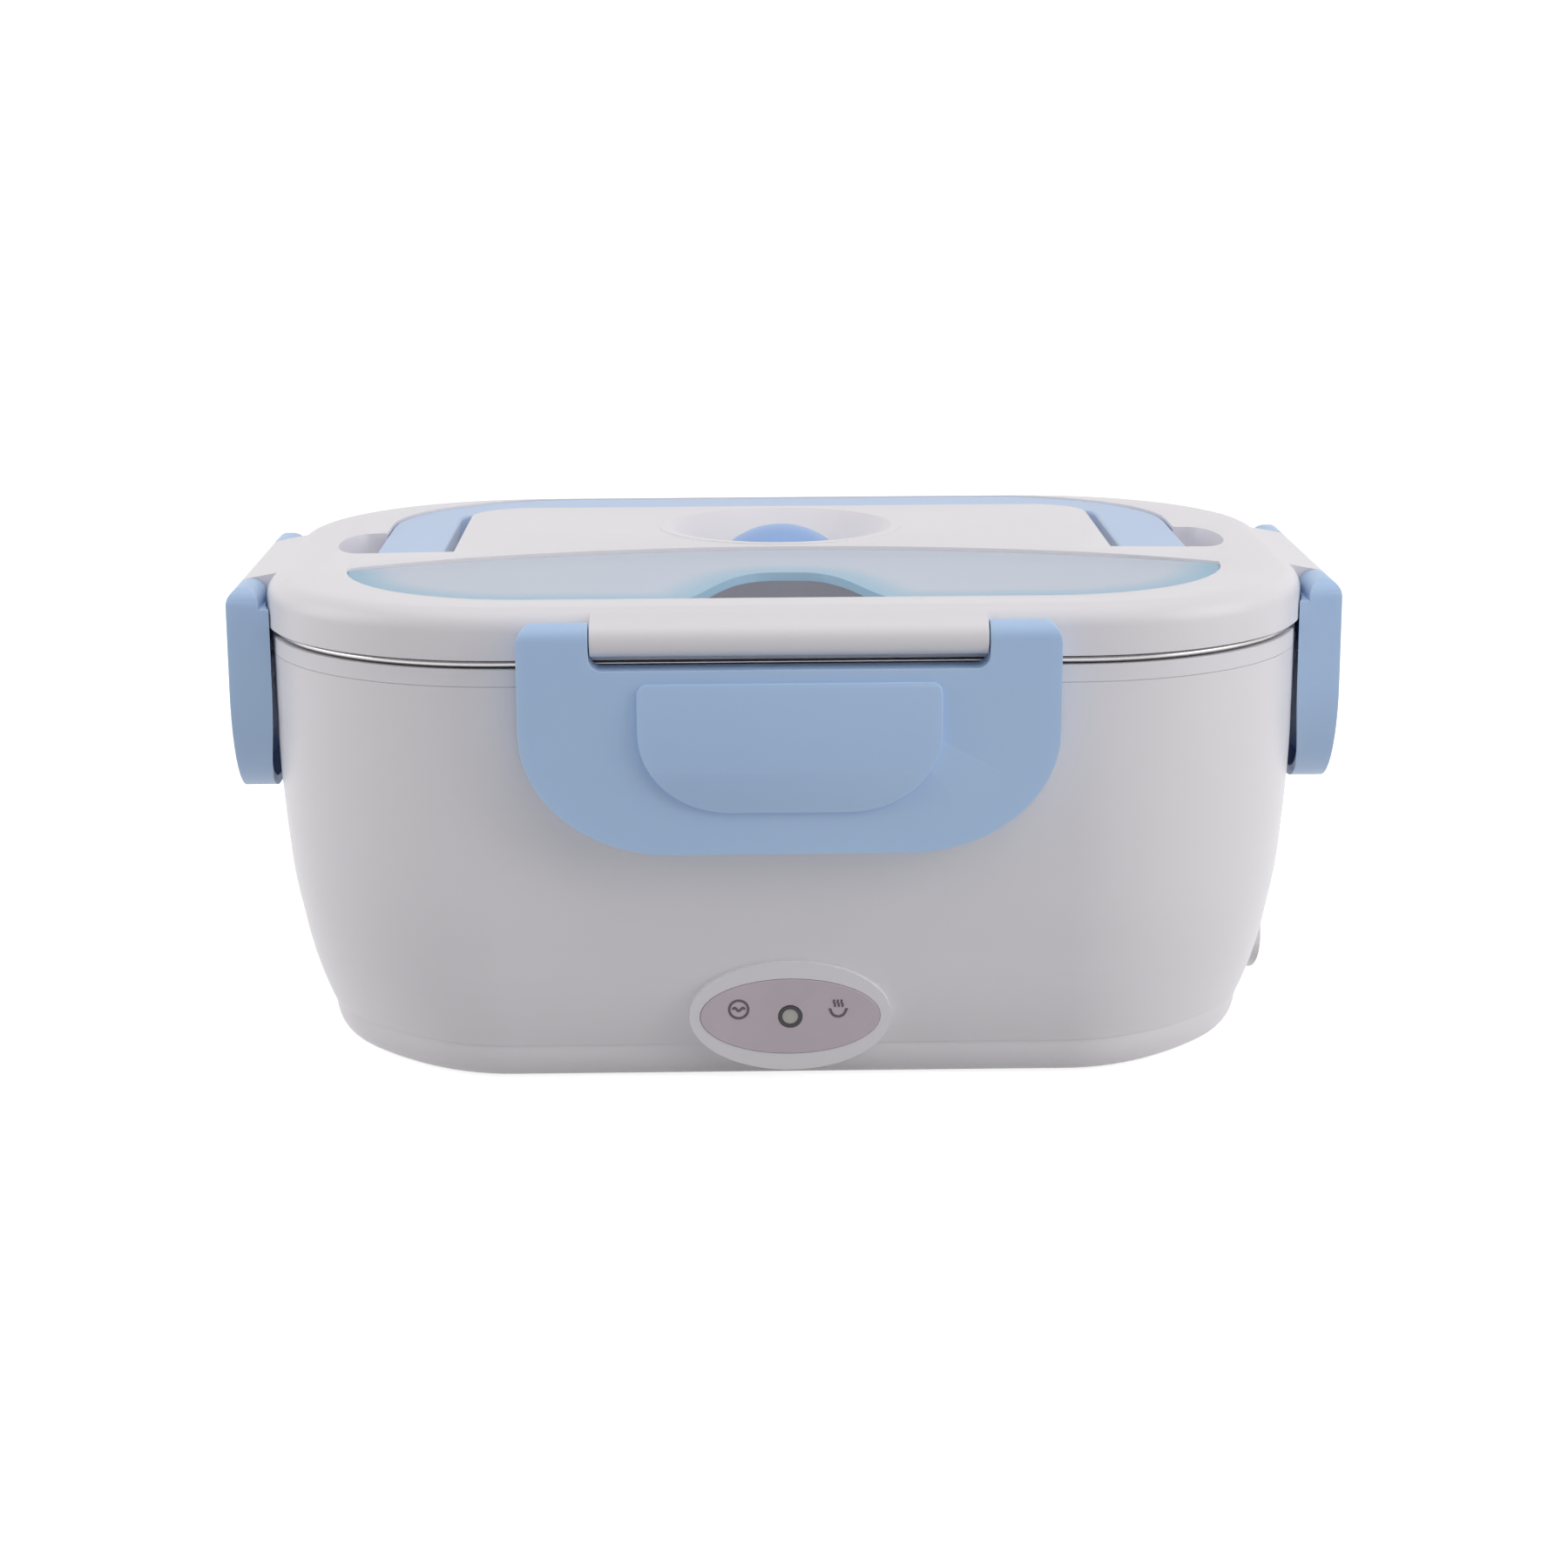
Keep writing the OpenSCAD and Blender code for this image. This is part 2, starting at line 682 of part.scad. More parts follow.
// hinge bar of one latch, in the hinge frame, its top sloping up to the lid's rounded edge
bar_top = edge_z + edge_r - 0.8 - hinge_z;
module hinge_bar(half) {
  translate([-half, 0, 0]) rotate([90, 0, 90]) linear_extrude(2 * half)
    polygon(concat(arc([0, 0], bar_r, bar_r, 105, 270, 16),
      [[hinge_out + 2, -bar_r], [hinge_out + 2, bar_top]]));
}

module lid_shell() {
  color(white_pp) difference() {
    union() {
      difference() {
        lid_form(0, lid_z);
        lid_form(lid_wall, lid_z - 1);
      }
      for (a = [0, 180]) on_hinge(a) hinge_bar(long_bar);
      for (a = [90, 270]) on_hinge(a) hinge_bar(short_bar);
      intersection() {
        lid_form(0.2, 0);
        union() {
          translate([0, 0, groove_z - pan_t]) linear_extrude(20) handle_plan(pocket_wall + gap, -6);
          side_pockets(pocket_wall, deck_edge - side_pocket_drop - pocket_wall);
          translate([0, 0, cover_seat - pocket_wall]) linear_extrude(20) cover_plan(pocket_wall + gap);
          translate([0, 0, pocket_floor - pocket_wall]) linear_extrude(30)
            cover_plan(pocket_wall - pocket_inset);
          vent_bowl(2, bowl_z - 2);
          // blocks that hold the handle's trunnions
          for (m = [0, 1]) mirror([m, 0, 0])
            box([arm_in - 8, pivot_y - 5, groove_z - pan_t], [arm_in, pivot_y + 5, deck_top]);
        }
      }
      translate([0, vent_y, deck_top - 2]) cylinder(r = vent_r, h = ring_top - deck_top + 2);
    }
    translate([0, 0, groove_z]) linear_extrude(20) handle_plan(gap, pivot_y - handle_t / 2 - gap);
    side_pockets(0, deck_edge - side_pocket_drop);
    translate([0, 0, cover_seat]) linear_extrude(20) cover_plan(gap);
    translate([0, 0, pocket_floor]) linear_extrude(20) cover_plan(-pocket_inset);
    vent_bowl(0, bowl_z);
    translate([0, vent_y, 0]) cylinder(r = stem_r + pin_fit, h = deck_top);
    translate([0, pivot_y, pivot_z]) for (m = [0, 1]) mirror([m, 0, 0])
      along_x(arm_in - 6, arm_in + 1, trunnion_r + pin_fit);
    for (a = [0, 180], m = [0, 1]) on_hinge(a) mirror([m, 0, 0])
      along_x(long_bar - 6, long_bar + 1, pin_r + pin_fit);
    for (a = [90, 270], m = [0, 1]) on_hinge(a) mirror([m, 0, 0])
      along_x(short_bar - 6, short_bar + 1, pin_r + pin_fit);
  }
}

module lid_liner() {
  color(white_pp) difference() {
    union() {
      pan(tray_q, flange_z + flange_t, tray_q, tray_z, 3);
      slab(lid_q - lid_wall - gap, flange_z, flange_z + flange_t);
    }
    pan(tray_q - tray_wall, flange_z + 5, tray_q - tray_wall, tray_z + 2, 2);
    translate([0, vent_y, 0]) cylinder(r = stem_r + 1, h = deck_top);
  }
}

module seal_ring() {
  color([0.9, 0.9, 0.88]) around() {
    block(mouth_q + 1.5, rim_top + gap, rim_q - 1.6, flange_z);
  }
}

// a latch outline drawn in x and z from z = top down, inset by t
module latch_plan(w, t, top) {
  rx = corner_w * w / long_latch - t;
  rz = corner_h - t;
  low = latch_drop - t - rz;
  polygon(concat(arc([t - w + rx, -low], rx, rz, 180, 270), arc([w - t - rx, -low], rx, rz, 270, 360),
    arc([w - t - ear_corner, top - ear_corner], ear_corner, ear_corner, 0, 90, 6),
    arc([ear_corner + t - w, top - ear_corner], ear_corner, ear_corner, 90, 180, 6)));
}
// raised thumb pad: a flat top, small upper corners and wide lower ones
module pad_plan(w) {
  polygon(concat(arc([2 - w, -10.2], 2, 2, 180, 90, 4), arc([w - 2, -10.2], 2, 2, 90, 0, 4),
    arc([w - 18, -17.5], 18, 16, 0, -90), arc([18 - w, -17.5], 18, 16, 270, 180)));
}
// the space that a hinge bar takes in its latch, with rounded lower corners
module notch_plan(half) {
  polygon(concat([[-half, 20]], arc([notch_r - half, notch_r - notch_drop], notch_r, notch_r, 180, 270, 6),
    arc([half - notch_r, notch_r - notch_drop], notch_r, notch_r, 270, 360, 6), [[half, 20]]));
}
module upright(y0, y1) {
  translate([0, y1, 0]) rotate([90, 0, 0]) linear_extrude(y1 - y0) children();
}
module latch(w, bar) {
  pad_w = w * 0.56;
  color(blue_pp) {
    difference() {
      union() {
        difference() {
          intersection() {
            upright(-ear_r, reach) latch_plan(w, 0, ear_r);
            // round the hinge axis above, and back to the body below it
            translate([-w, 0, 0]) rotate([90, 0, 90]) linear_extrude(2 * w)
              polygon(concat(arc([0, 0], ear_r, ear_r, 0, 180, 24),
                [[-ear_r, -latch_drop], [reach, -latch_drop], [reach, -1], [ear_r, -1]]));
          }
          upright(latch_t - ear_r, reach + 1) latch_plan(w, latch_rim, -notch_drop - cross_wall);
        }
        intersection() {
          upright(-ear_r - 3, 0.5 - ear_r) pad_plan(pad_w);
          translate([0, pad_bulge_r - ear_r - pad_bulge, -21.5]) rotate([0, 90, 0])
            cylinder(r = pad_bulge_r, h = 200, center = true, $fn = 360);
        }
        box([-22, 0.5 - ear_r, -catch_drop - catch_h - gap], [22, catch_out - gap, -catch_drop - gap]);
      }
      upright(-20, 20) notch_plan(bar + bar_end);
    }
    for (m = [0, 1]) mirror([m, 0, 0]) along_x(bar - 5, bar + 3, pin_r);
  }
}
// a latch at angle a, its back cut to follow the side of the lid
module fitted_latch(a, w, bar) {
  difference() {
    on_hinge(a) latch(w, bar);
    slab(lid_q + gap, 0, deck_top);
  }
}
module front_latch() {
  fitted_latch(0, long_latch, long_bar);
}
module rear_latch() {
  fitted_latch(180, long_latch, long_bar);
}
module left_latch() {
  fitted_latch(270, short_latch, short_bar);
}
module right_latch() {
  fitted_latch(90, short_latch, short_bar);
}

module carry_handle() {
  color(blue_pp) {
    translate([0, 0, handle_z]) linear_extrude(handle_t) handle_plan(0, pivot_y);
    translate([0, pivot_y, pivot_z]) for (m = [0, 1]) mirror([m, 0, 0]) {
      along_x(arm_in, handle_a, handle_t / 2);
      along_x(arm_in - 5, arm_in + 1, trunnion_r);
    }
  }
}

module compartment_cover() {
  color([0.7, 0.85, 0.97]) translate([0, 0, cover_top - cover_t]) linear_extrude(cover_t) difference() {
    cover_plan(0);
    polygon(concat([[-notch_a, -cover_front - 5]],
      [for (i = [-16:16]) let (t = pow(abs(i) / 16, notch_fullness))
        [notch_a * i / 16, notch_h * (1 + cos(180 * t)) / 2 - cover_front]],
      [[notch_a, -cover_front - 5]]));
  }
}

module vent_plug() {
  color([0.45, 0.65, 0.93]) translate([0, vent_y, 0]) {
    intersection() {
      translate([0, 0, ring_top - dome_sphere]) sphere(dome_sphere);
      translate([0, 0, ring_top - dome_h]) cylinder(r = dome_r + 1, h = dome_h + 1);
    }
    translate([0, 0, bowl_z - 4]) cylinder(r = stem_r, h = ring_top - dome_h - bowl_z + 5);
  }
}

outer_shell();
heating_well();
base_cover();
feet();
base_screws();
heater_plate();
ptc_heater();
heater_bracket();
bracket_screws();
thermostat();
thermal_fuse();
inlet_housing();
inlet_pins();
display_panel();
indicator_lens();
indicator_ring();
indicator_board();
wiring();
steel_container();
lid_shell();
lid_liner();
seal_ring();
front_latch();
rear_latch();
left_latch();
right_latch();
carry_handle();
compartment_cover();
vent_plug();
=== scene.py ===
import json
import math
import bpy
import bmesh
from mathutils import Vector, Matrix


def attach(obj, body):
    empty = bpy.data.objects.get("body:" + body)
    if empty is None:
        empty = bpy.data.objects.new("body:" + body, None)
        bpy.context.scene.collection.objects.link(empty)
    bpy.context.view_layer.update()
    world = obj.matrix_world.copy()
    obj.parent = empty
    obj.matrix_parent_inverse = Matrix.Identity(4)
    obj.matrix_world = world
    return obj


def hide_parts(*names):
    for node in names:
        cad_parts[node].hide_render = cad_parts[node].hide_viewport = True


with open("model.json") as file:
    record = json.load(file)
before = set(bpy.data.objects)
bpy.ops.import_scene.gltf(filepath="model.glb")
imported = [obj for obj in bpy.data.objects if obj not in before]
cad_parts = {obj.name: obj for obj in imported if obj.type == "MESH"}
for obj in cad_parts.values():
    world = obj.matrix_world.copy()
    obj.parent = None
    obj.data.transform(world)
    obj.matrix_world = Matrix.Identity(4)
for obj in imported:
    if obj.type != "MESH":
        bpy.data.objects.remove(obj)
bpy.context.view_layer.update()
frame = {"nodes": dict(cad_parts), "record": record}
nodes = frame["nodes"]
mm = 0.001
slotOf = {s["node"]: s["material_slot"] for s in frame["record"]["subparts"]}
bodyOf = {n: b for b, ns in frame["record"]["behaviour"]["bodies"].items() for n in ns}

# the camera stands in front, a little above the lid; its angles are in degrees
cameraSet = {"aim": (0.0001, 0.0, 0.0463), "distance": 0.70, "rise": 13.47, "swing": 0.88, "roll": 0.34,
             "lens": 73.3, "sensor": 36, "near": 0.01}


def placeCamera(s):
    rise, swing = math.radians(s["rise"]), math.radians(s["swing"])
    back = Vector((-math.sin(swing) * math.cos(rise), -math.cos(swing) * math.cos(rise), math.sin(rise)))
    data = bpy.data.cameras.new("camera")
    data.lens, data.sensor_width, data.clip_start = s["lens"], s["sensor"], s["near"]
    cam = bpy.data.objects.new("camera", data)
    bpy.context.scene.collection.objects.link(cam)
    roll = Matrix.Rotation(math.radians(-s["roll"]), 4, "Z").to_quaternion()
    turn = (-back).to_track_quat("-Z", "Y") @ roll
    cam.matrix_world = Matrix.Translation(Vector(s["aim"]) + back * s["distance"]) @ turn.to_matrix().to_4x4()
    bpy.context.scene.camera = cam


placeCamera(cameraSet)
print("camera placed")


def newMaterial(name):
    mat = bpy.data.materials.new(name)
    mat.use_nodes = True
    tree = mat.node_tree
    return mat, tree, tree.nodes["Principled BSDF"]


def addNode(tree, kind, **values):
    node = tree.nodes.new(kind)
    for key, value in values.items():
        if key in node.inputs:
            node.inputs[key].default_value = value
        else:
            setattr(node, key, value)
    return node


def noiseAt(tree, scale, detail, stretch=(1, 1, 1)):
    place = addNode(tree, "ShaderNodeTexCoord")
    mapping = addNode(tree, "ShaderNodeMapping", Scale=stretch)
    noise = addNode(tree, "ShaderNodeTexNoise", Scale=scale, Detail=detail)
    tree.links.new(place.outputs["Object"], mapping.inputs["Vector"])
    tree.links.new(mapping.outputs["Vector"], noise.inputs["Vector"])
    return noise.outputs["Fac"]


def ramp(tree, fac, low, high, at=(0.3, 0.7)):
    node = addNode(tree, "ShaderNodeValToRGB")
    for stop, colour, place in zip(node.color_ramp.elements, (low, high), at):
        stop.color, stop.position = (*colour, 1), place
    tree.links.new(fac, node.inputs["Fac"])
    return node.outputs["Color"]


def spread(tree, fac, low, high):
    node = addNode(tree, "ShaderNodeMapRange")
    node.inputs["To Min"].default_value, node.inputs["To Max"].default_value = low, high
    tree.links.new(fac, node.inputs["Value"])
    return node.outputs["Result"]


def addBump(tree, shader, height, distance, strength):
    bump = addNode(tree, "ShaderNodeBump", Strength=strength, Distance=distance)
    tree.links.new(height, bump.inputs["Height"])
    tree.links.new(bump.outputs["Normal"], shader.inputs["Normal"])


# scale, detail and stretch of the noise for the colour, the gloss and the skin, and how deep and
# strong the skin is; lengths in metres
plastic = {"clouds": (14, 3), "gloss": (55, 4), "skin": (900, 2), "depth": 0.00004, "strength": 0.25,
           "refraction": 1.49, "scatterReach": (0.003, 0.003, 0.004)}
brushed = {"clouds": (40, 4, (1, 1, 14)), "gloss": (160, 4, (1, 1, 10)), "skin": (300, 2, (1, 1, 8)),
           "depth": 0.00003, "strength": 0.2, "low": (0.5, 0.49, 0.49), "high": (0.6, 0.59, 0.59),
           "rough": (0.2, 0.36)}
matte = {"clouds": (60, 3), "gloss": (180, 3), "skin": (720, 2), "depth": 0.00006, "strength": 0.3}


def surface(kind, name, low, high, rough, strength):
    mat, tree, shader = newMaterial(name)
    tree.links.new(ramp(tree, noiseAt(tree, *kind["clouds"]), low, high), shader.inputs["Base Color"])
    tree.links.new(spread(tree, noiseAt(tree, *kind["gloss"]), *rough), shader.inputs["Roughness"])
    addBump(tree, shader, noiseAt(tree, *kind["skin"]), kind["depth"], strength)
    return mat, shader


# moulded plastic: faint clouding of the colour, uneven gloss and a very fine skin
def mouldedPlastic(name, low, high, rough, strength=plastic["strength"], scatter=0.0):
    mat, shader = surface(plastic, name, low, high, rough, strength)
    shader.inputs["Subsurface Weight"].default_value = scatter
    shader.inputs["Subsurface Radius"].default_value = plastic["scatterReach"]
    shader.inputs["Subsurface Scale"].default_value = 1
    shader.inputs["IOR"].default_value = plastic["refraction"]
    return mat


# brushed metal: the stretched noise makes level scratches
def brushedSteel(name):
    mat, shader = surface(brushed, name, brushed["low"], brushed["high"], brushed["rough"],
                          brushed["strength"])
    shader.inputs["Metallic"].default_value = 1
    return mat


def plainMatte(name, low, high, rough=(0.5, 0.65)):
    mat, shader = surface(matte, name, low, high, rough, matte["strength"])
    return mat


# by slot: the two ends of the colour, the two ends of the roughness, then the skin's strength
finish = {
    "white_shell": mouldedPlastic("whiteShell", (0.83, 0.8, 0.83), (0.85, 0.825, 0.85), (0.3, 0.42)),
    "white_inner": mouldedPlastic("whiteInner", (0.82, 0.8, 0.83), (0.85, 0.83, 0.86), (0.4, 0.5)),
    "blue_plastic": mouldedPlastic("skyBlue", (0.45, 0.62, 0.88), (0.48, 0.65, 0.91), (0.34, 0.46),
                                   scatter=0.15),
    "clear_blue": mouldedPlastic("coverBlue", (0.8, 0.87, 0.98), (0.83, 0.89, 0.99), (0.36, 0.44), 0.1),
    "dome_blue": mouldedPlastic("domeBlue", (0.28, 0.45, 0.8), (0.31, 0.48, 0.83), (0.3, 0.4)),
    "steel": brushedSteel("steel"),
    "aluminium": brushedSteel("aluminium"),
    "ceramic": plainMatte("ceramic", (0.66, 0.6, 0.46), (0.74, 0.68, 0.54)),
    "rubber": plainMatte("rubberGrey", (0.3, 0.3, 0.31), (0.36, 0.36, 0.37)),
    "silicone": plainMatte("silicone", (0.78, 0.78, 0.76), (0.84, 0.84, 0.82), (0.35, 0.45)),
    "panel_grey": plainMatte("panelGrey", (0.57, 0.49, 0.54), (0.61, 0.53, 0.58), (0.3, 0.4)),
    "black": plainMatte("blackPlastic", (0.03, 0.028, 0.03), (0.04, 0.037, 0.04), (0.25, 0.35)),
    "lens": plainMatte("lens", (0.5, 0.47, 0.44), (0.56, 0.53, 0.5), (0.2, 0.3)),
    "board": plainMatte("board", (0.02, 0.12, 0.05), (0.03, 0.16, 0.07)),
    "wire": plainMatte("wireRed", (0.5, 0.05, 0.03), (0.58, 0.07, 0.04)),
}
# the handle's blue is a paler copy of the sky blue: its paler, less saturated tone is a painted sheen for the
# white that the glossy handle reflects
handleBlueSheen = mouldedPlastic("handleBlueSheen", (0.5, 0.63, 0.87), (0.53, 0.66, 0.89), (0.38, 0.44), 0.08,
                            scatter=0.15)
printGrey = plainMatte("printGrey", (0.1, 0.08, 0.1), (0.13, 0.1, 0.12))
print("materials made")


def setMaterial(obj, mat):
    obj.data.materials.clear()
    obj.data.materials.append(mat)


for name, obj in nodes.items():
    setMaterial(obj, finish[slotOf[name]])


def smoothByAngle(mesh, degrees):
    for face in mesh.polygons:
        face.use_smooth = True
    mesh.set_sharp_from_angle(angle=math.radians(degrees))


# half sides of the rectangle that joins the centres of the body's rounded corners; the wall runs round it
core = {"x": 56 * mm, "y": 24.5 * mm}


def beyondCore(p):
    return max(abs(p.x) - core["x"], 0), max(abs(p.y) - core["y"], 0)


def ringDistance(p):
    return math.hypot(*beyondCore(p))


# the plain solid's wall in section: a wide bow, and below `turnAt` a tighter turn inwards
wall = {"bowCentre": (-360.8 * mm, 81.9 * mm), "bowRadius": 411 * mm, "turnRadius": 85 * mm,
        "turnAt": 40 * mm}


def wallDistance(z):
    centre, radius = wall["bowCentre"], wall["bowRadius"]
    if z <= wall["turnAt"]:
        lean = math.asin((centre[1] - wall["turnAt"]) / radius)
        reach = radius - wall["turnRadius"]
        centre = (centre[0] + reach * math.cos(lean), centre[1] - reach * math.sin(lean))
        radius = wall["turnRadius"]
    return centre[0] + math.sqrt(radius ** 2 - (centre[1] - z) ** 2)


# below `high` the wall swells on its four sides and keeps the solid's corners; `depth` reaches its inner face
fuller = {"low": 8 * mm, "high": 29 * mm, "sides": 2.2 * mm, "power": 1.15, "slack": 0.12 * mm,
          "depth": 3.2 * mm}


def swellBy(p):
    share = min(max((fuller["high"] - p.z) / (fuller["high"] - fuller["low"]), 0), 1) ** fuller["power"]
    x, y = beyondCore(p)
    away = Vector((math.copysign(x, p.x), math.copysign(y, p.y), 0))
    if away.length == 0:
        return away
    turned = math.sin(2 * math.atan2(away.y, away.x)) ** 2  # 0 on a side, 1 in the middle of a corner
    return away.normalized() * share * (fuller["sides"] * (1 - turned))


def swellShell(bm):
    for vert in bm.verts:
        out = ringDistance(vert.co) - wallDistance(vert.co.z)
        if -fuller["depth"] < out < fuller["slack"] and vert.co.z < fuller["high"]:
            vert.co += swellBy(vert.co)


# the base turns in over a taller curve than the solid's, down to just above the feet's soles
baseTurn = {"seam": 8 * mm, "radius": 5 * mm, "inner": 32.8 * mm, "plinth": 30 * mm, "bottom": 0.4 * mm,
            "slack": 0.01 * mm, "reach": 0.1 * mm}


def deepenBase(bm):
    seam, radius, slack = baseTurn["seam"], baseTurn["radius"], baseTurn["slack"]
    for vert in bm.verts:
        drop = seam - vert.co.z
        if drop < -slack or drop > radius + slack:
            continue
        outer = baseTurn["inner"] + math.sqrt(max(radius ** 2 - drop ** 2, 0))
        if baseTurn["plinth"] < ringDistance(vert.co) < outer + baseTurn["reach"]:
            vert.co += swellBy(vert.co)
            vert.co.z = seam - drop * (seam - baseTurn["bottom"]) / radius


# the inner edges of the handle's arms, in front of `back`, slope down into their groove
armSlope = {"inner": 70.2 * mm, "slack": 1 * mm, "shift": 2.4 * mm, "top": 98.9 * mm, "back": 60 * mm}


def slopeArms(bm):
    for vert in bm.verts:
        onEdge = abs(abs(vert.co.x) - armSlope["inner"]) < armSlope["slack"]
        if vert.co.z > armSlope["top"] and onEdge and vert.co.y < armSlope["back"]:
            vert.co.x += math.copysign(armSlope["shift"], vert.co.x)


# cut the whole mesh along a plane, so that it has vertices there
def cutAcross(bm, place, axis):
    bmesh.ops.bisect_plane(bm, geom=bm.verts[:] + bm.edges[:] + bm.faces[:], dist=1e-6,
                           plane_co=place, plane_no=axis)


# how every softened copy is cleaned and rounded: merge in metres, the angles in degrees
softening = {"merge": 2e-6, "flatAngle": 0.6, "segments": 3, "bevelAngle": 30, "sharpAngle": 35}
# in mm: how wide each copy's edges are rounded, and the level cuts that give the shell rows to swell by
softWidths = {"front_latch": 1.2, "rear_latch": 1.2, "left_latch": 1.2, "right_latch": 1.2,
              "carry_handle": 0.7, "lid_shell": 0.5, "display_panel": 0.2, "heating_well": 0.4,
              "outer_shell": 0.3, "base_cover": 0.3}
levelCuts = {"outer_shell": range(10, 31, 2)}
reshaped = {"outer_shell": swellShell, "base_cover": deepenBase, "carry_handle": slopeArms}
bowedPieces = ("outer_shell", "base_cover")  # their normals are weighted, so that the bow looks even


def softenedCopy(node, width, reshape=None, cuts=()):
    mesh = nodes[node].data.copy()
    obj = bpy.data.objects.new(node + "_soft", mesh)
    bpy.context.scene.collection.objects.link(obj)
    bm = bmesh.new()
    bm.from_mesh(mesh)
    bmesh.ops.remove_doubles(bm, verts=bm.verts, dist=softening["merge"])
    bmesh.ops.dissolve_limit(bm, angle_limit=math.radians(softening["flatAngle"]), verts=bm.verts,
                             edges=bm.edges)
    for z in cuts:
        cutAcross(bm, (0, 0, z * mm), (0, 0, 1))
    if reshape:
        reshape(bm)
    bm.to_mesh(mesh)
    bm.free()
    bevel = obj.modifiers.new("bevel", "BEVEL")
    bevel.width, bevel.segments = width * mm, softening["segments"]
    bevel.limit_method, bevel.angle_limit = "ANGLE", math.radians(softening["bevelAngle"])
    bevel.miter_outer, bevel.use_clamp_overlap = "MITER_ARC", True
    if node in bowedPieces:
        obj.modifiers.new("normals", "WEIGHTED_NORMAL").keep_sharp = True
    smoothByAngle(mesh, softening["sharpAngle"])
    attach(obj, bodyOf[node])
    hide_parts(node)
    return obj


for node, width in softWidths.items():
    soft = softenedCopy(node, width, reshaped.get(node), levelCuts.get(node, ()))
    if node == "carry_handle":
        # the handle gets the paler blue with its painted sheen
        setMaterial(soft, handleBlueSheen)
print("pieces softened")


# painted light: the front edge and the arch of the cover get a painted cyan strip that fades inwards,
# standing in for the light that the clear plastic gathers at its edges
# x and y give where the mesh is cut to carry the strip, in mm: from, to, step
# upright and forward are the limits of the normals of the edge's own faces
cover = {"soft": 0.2, "alpha": 0.6, "fade": 10 * mm, "gain": 1.35, "colour": (0.46, 0.74, 0.93, 1),
         "x": (-90, 91, 3), "y": (-66, -4, 2), "upright": 0.3, "forward": -0.1}


def paintEdgeLight(bm):
    for axis, key in (((1, 0, 0), "x"), ((0, 1, 0), "y")):
        for at in range(*cover[key]):
            cutAcross(bm, Vector(axis) * at * mm, axis)
    bm.normal_update()
    # the painted edge light runs from full at the edge's faces to nothing at `fade` inwards
    layer = bm.verts.layers.float.new("paintedEdgeLight")
    front = [f for f in bm.faces if abs(f.normal.z) < cover["upright"] and f.normal.y < cover["forward"]]
    edge = [v.co.xy for v in {v for f in front for v in f.verts}]
    for vert in bm.verts:
        near = min((vert.co.xy - e).length for e in edge)
        vert[layer] = min(max(cover["gain"] * (1 - near / cover["fade"]), 0), 1)


def makeCover():
    tree = finish["clear_blue"].node_tree
    shader = tree.nodes["Principled BSDF"]
    shader.inputs["Alpha"].default_value = cover["alpha"]
    plain = shader.inputs["Base Color"].links[0].from_socket
    # the painted edge light: the strip's cyan is mixed into the cover's own colour by this attribute
    edge = addNode(tree, "ShaderNodeAttribute", attribute_name="paintedEdgeLight")
    mix = addNode(tree, "ShaderNodeMix", data_type="RGBA")  # its colours are inputs 6 and 7 and output 2
    tree.links.new(edge.outputs["Fac"], mix.inputs[0])
    tree.links.new(plain, mix.inputs[6])
    mix.inputs[7].default_value = cover["colour"]
    tree.links.new(mix.outputs[2], shader.inputs["Base Color"])
    softenedCopy("compartment_cover", cover["soft"], paintEdgeLight)


makeCover()
print("cover made")


# a ribbon of the given half width along points in the panel's plane
def ribbon(bm, points, half, closed=False):
    rows = []
    count = len(points)
    for i, p in enumerate(points):
        before = points[(i - 1) % count] if closed or i > 0 else p
        after = points[(i + 1) % count] if closed or i < count - 1 else p
        along = (Vector(after) - Vector(before)).normalized()
        side = Vector((-along.y, along.x)) * half
        rows.append([bm.verts.new((p[0] + s * side.x, p[1] + s * side.y, 0)) for s in (-1, 1)])
    ends = rows + rows[:1] if closed else rows
    for a, b in zip(ends, ends[1:]):
        bm.faces.new((a[0], b[0], b[1], a[1]))


def circlePoints(centre, radius, start=0, sweep=360, count=32):
    steps = count if sweep == 360 else count + 1  # a full circle doesn't repeat its first point
    return [(centre[0] + radius * math.cos(math.radians(start + sweep * i / count)),
             centre[1] + radius * math.sin(math.radians(start + sweep * i / count))) for i in range(steps)]


def wavePoints(centre, width, height, turns, upright=False, count=24):
    out = []
    for i in range(count + 1):
        along, across = width * (i / count - 0.5), height * math.sin(2 * math.pi * turns * i / count)
        x, y = (across, along) if upright else (along, across)
        out.append((centre[0] + x, centre[1] + y))
    return out


# two plain signs on the panel: a plate with a wave on the left, an open pot with steam on the right
# wave and steam give width, height and turns; these, rim, pot and rise are shares of the radius
signs = {"left": (-10.3 * mm, 1.6 * mm), "right": (9.6 * mm, 1.6 * mm), "radius": 1.9 * mm,
         "line": 0.25 * mm, "wave": (1.3, 0.18, 1.5), "rim": 0.1, "pot": 0.8, "steam": (0.8, 0.08, 1),
         "steamAt": (-0.4, 0, 0.4), "rise": 0.6, "steamLine": 0.8, "lift": 0.03 * mm, "thick": 0.05 * mm,
         "forward": -0.5}


def drawSigns(bm):
    left, right, r, line = signs["left"], signs["right"], signs["radius"], signs["line"]
    width, height, turns = signs["wave"]
    ribbon(bm, circlePoints(left, r), line, closed=True)
    ribbon(bm, wavePoints(left, width * r, height * r, turns), line)
    rim = right[1] - signs["rim"] * r
    pot = circlePoints((right[0], rim), signs["pot"] * r, start=180, sweep=180, count=16)
    ribbon(bm, [(right[0] - r, rim)] + pot + [(right[0] + r, rim)], line)
    width, height, turns = signs["steam"]
    for x in signs["steamAt"]:
        centre = (right[0] + x * r, right[1] + signs["rise"] * r)
        ribbon(bm, wavePoints(centre, width * r, height * r, turns, upright=True, count=12),
               line * signs["steamLine"])


